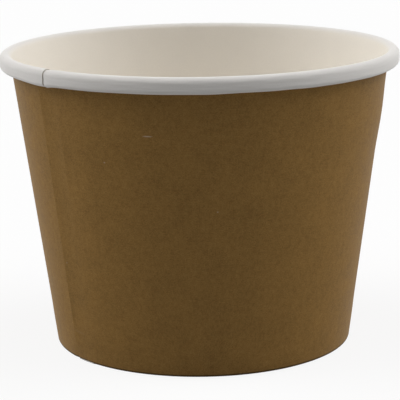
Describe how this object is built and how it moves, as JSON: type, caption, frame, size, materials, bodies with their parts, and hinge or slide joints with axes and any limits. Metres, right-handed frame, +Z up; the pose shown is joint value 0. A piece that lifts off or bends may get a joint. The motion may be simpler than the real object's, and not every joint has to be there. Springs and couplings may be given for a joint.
{
  "type": "paper ice cream tub",
  "caption": "Round tapered paper tub with a rolled rim, a glued side lap and a recessed base, for holding ice cream or other cold food.",
  "frame": {"origin": "centre of the foot ring, on the surface that the tub stands on", "axes": "+Z up along the tub's axis, -Y towards the front, so that the side lap is at the front left"},
  "size_m": [0.098, 0.098, 0.073],
  "materials": {
    "kraft_board": "satin, fine fibre speckle; white coated lining inside and on the rolled rim",
    "white_board": "satin coated"
  },
  "bodies": {
    "root": {"side_wall": "kraft_board", "base_disc": "white_board"}
  },
  "joints": []
}
